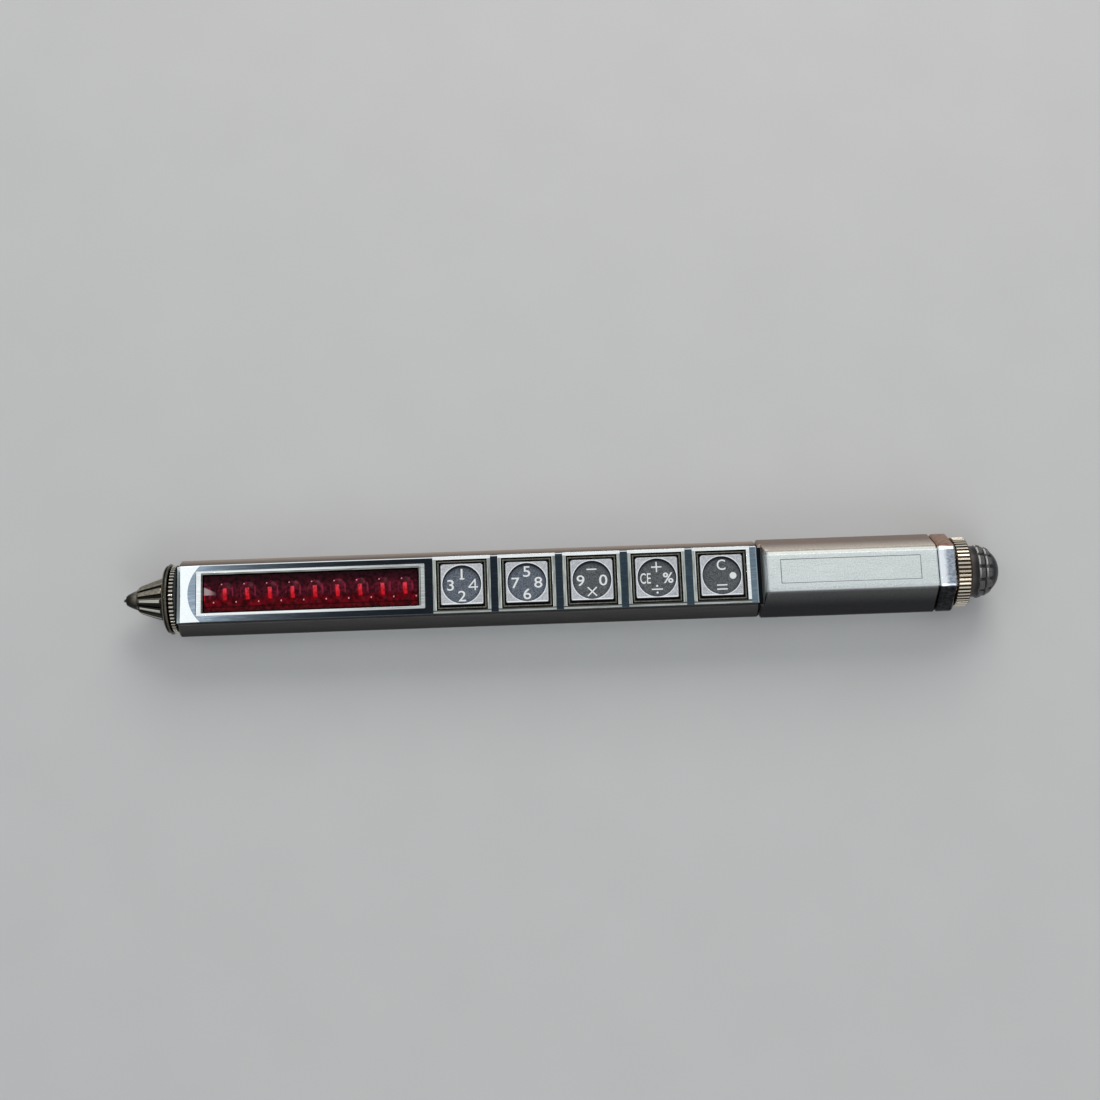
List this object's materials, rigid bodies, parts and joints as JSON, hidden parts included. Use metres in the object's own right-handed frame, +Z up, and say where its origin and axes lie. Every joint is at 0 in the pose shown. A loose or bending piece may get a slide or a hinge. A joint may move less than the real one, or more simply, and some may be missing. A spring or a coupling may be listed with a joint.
{
  "type": "calculator pen",
  "caption": "Hexagonal metal ballpoint pen with a red digit display, square rocking keys, a ribbed nose, a knurled end ring and a dark gridded switch dome.",
  "frame": {"origin": "under the middle of the pen's length and width, on the surface that its lowest flat rests on", "axes": "+X along the pen from the writing point towards the switch dome, +Z up out of the keys, +Y away from a reader who has the writing point at the left"},
  "size_m": [0.16, 0.0146, 0.013],
  "materials": {
    "satin_aluminium": "satin, brushed along the pen",
    "polished_chrome": "polished",
    "satin_key": "satin",
    "dark_dial": "satin, off-white printed characters",
    "gunmetal": "dark plated",
    "dark_plastic": "semi-gloss",
    "red_lens": "clear red, polished",
    "led_strip": "matt",
    "board": "solder mask",
    "chip": "matt",
    "brass": "drawn",
    "steel": "nickel plated",
    "ink_tube": "satin"
  },
  "bodies": {
    "body": {"front_body": "satin_aluminium", "face_plate": "polished_chrome", "display_window": "red_lens", "led_strip": "led_strip", "display_board": "board", "key_board": "board", "contact_sheet": "steel", "calculator_chip": "chip", "refill_guide": "brass", "refill_spring": "steel", "barrel_sleeve": "satin_aluminium", "rear_collar": "polished_chrome", "insulator_disc": "dark_plastic", "front_contact": "brass", "power_lead": "brass", "button_cell_1": "steel", "button_cell_2": "steel", "button_cell_3": "steel", "button_cell_4": "steel"},
    "refill": {"writing_point": "dark_plastic", "refill_tube": "ink_tube"},
    "nose": {"nose_cone": "gunmetal", "nose_rim": "gunmetal", "nose_ring": "gunmetal"},
    "spring": {"cell_spring": "steel", "spring_cup": "brass"},
    "end_cap": {"end_ring": "polished_chrome"},
    "switch": {"switch_dome": "dark_plastic", "switch_wiper": "brass"},
    "key_1_frame": {"key_1_gimbal": "polished_chrome"},
    "key_1": {"key_1_cap": "satin_key", "key_1_dial": "dark_dial"},
    "key_2_frame": {"key_2_gimbal": "polished_chrome"},
    "key_2": {"key_2_cap": "satin_key", "key_2_dial": "dark_dial"},
    "key_3_frame": {"key_3_gimbal": "polished_chrome"},
    "key_3": {"key_3_cap": "satin_key", "key_3_dial": "dark_dial"},
    "key_4_frame": {"key_4_gimbal": "polished_chrome"},
    "key_4": {"key_4_cap": "satin_key", "key_4_dial": "dark_dial"},
    "key_5_frame": {"key_5_gimbal": "polished_chrome"},
    "key_5": {"key_5_cap": "satin_key", "key_5_dial": "dark_dial"}
  },
  "joints": [
    {"name": "key_1_roll", "type": "hinge", "parent": "body", "child": "key_1_frame", "pos_m": [-0.01812, 0, 0.0104], "axis": [1, 0, 0], "range_deg": [-5, 5], "stiffness_Nm_per_rad": 0.05},
    {"name": "key_1_pitch", "type": "hinge", "parent": "key_1_frame", "child": "key_1", "pos_m": [-0.01812, 0, 0.0104], "axis": [0, 1, 0], "range_deg": [-5, 5], "stiffness_Nm_per_rad": 0.05},
    {"name": "key_2_roll", "type": "hinge", "parent": "body", "child": "key_2_frame", "pos_m": [-0.00637, 0, 0.0104], "axis": [1, 0, 0], "range_deg": [-5, 5], "stiffness_Nm_per_rad": 0.05},
    {"name": "key_2_pitch", "type": "hinge", "parent": "key_2_frame", "child": "key_2", "pos_m": [-0.00637, 0, 0.0104], "axis": [0, 1, 0], "range_deg": [-5, 5], "stiffness_Nm_per_rad": 0.05},
    {"name": "key_3_roll", "type": "hinge", "parent": "body", "child": "key_3_frame", "pos_m": [0.00537, 0, 0.0104], "axis": [1, 0, 0], "range_deg": [-5, 5], "stiffness_Nm_per_rad": 0.05},
    {"name": "key_3_pitch", "type": "hinge", "parent": "key_3_frame", "child": "key_3", "pos_m": [0.00537, 0, 0.0104], "axis": [0, 1, 0], "range_deg": [-5, 5], "stiffness_Nm_per_rad": 0.05},
    {"name": "key_4_roll", "type": "hinge", "parent": "body", "child": "key_4_frame", "pos_m": [0.01713, 0, 0.0104], "axis": [1, 0, 0], "range_deg": [-5, 5], "stiffness_Nm_per_rad": 0.05},
    {"name": "key_4_pitch", "type": "hinge", "parent": "key_4_frame", "child": "key_4", "pos_m": [0.01713, 0, 0.0104], "axis": [0, 1, 0], "range_deg": [-5, 5], "stiffness_Nm_per_rad": 0.05},
    {"name": "key_5_roll", "type": "hinge", "parent": "body", "child": "key_5_frame", "pos_m": [0.02888, 0, 0.0104], "axis": [1, 0, 0], "range_deg": [-5, 5], "stiffness_Nm_per_rad": 0.05},
    {"name": "key_5_pitch", "type": "hinge", "parent": "key_5_frame", "child": "key_5", "pos_m": [0.02888, 0, 0.0104], "axis": [0, 1, 0], "range_deg": [-5, 5], "stiffness_Nm_per_rad": 0.05},
    {"name": "refill_slide", "type": "slide", "parent": "body", "child": "refill", "axis": [-1, 0, 0], "range_m": [0, 0.00161]},
    {"name": "nose_unscrew", "type": "hinge", "parent": "refill", "child": "nose", "pos_m": [-0.0763, 0, 0.0065], "axis": [-1, 0, 0], "range_deg": [0, 720]},
    {"name": "spring_slide", "type": "slide", "parent": "body", "child": "spring", "axis": [1, 0, 0], "range_m": [0, 0.00161]},
    {"name": "end_unscrew", "type": "hinge", "parent": "spring", "child": "end_cap", "pos_m": [0.0726, 0, 0.0065], "axis": [1, 0, 0], "range_deg": [0, 720]},
    {"name": "switch_turn", "type": "hinge", "parent": "end_cap", "child": "switch", "pos_m": [0.0772, 0, 0.0065], "axis": [1, 0, 0], "range_deg": [0, 60]}
  ],
  "couplings": [
    {"joint": "refill_slide", "follows": "nose_unscrew", "m_per_rad": 0.00012732},
    {"joint": "spring_slide", "follows": "end_unscrew", "m_per_rad": 0.00012732}
  ]
}
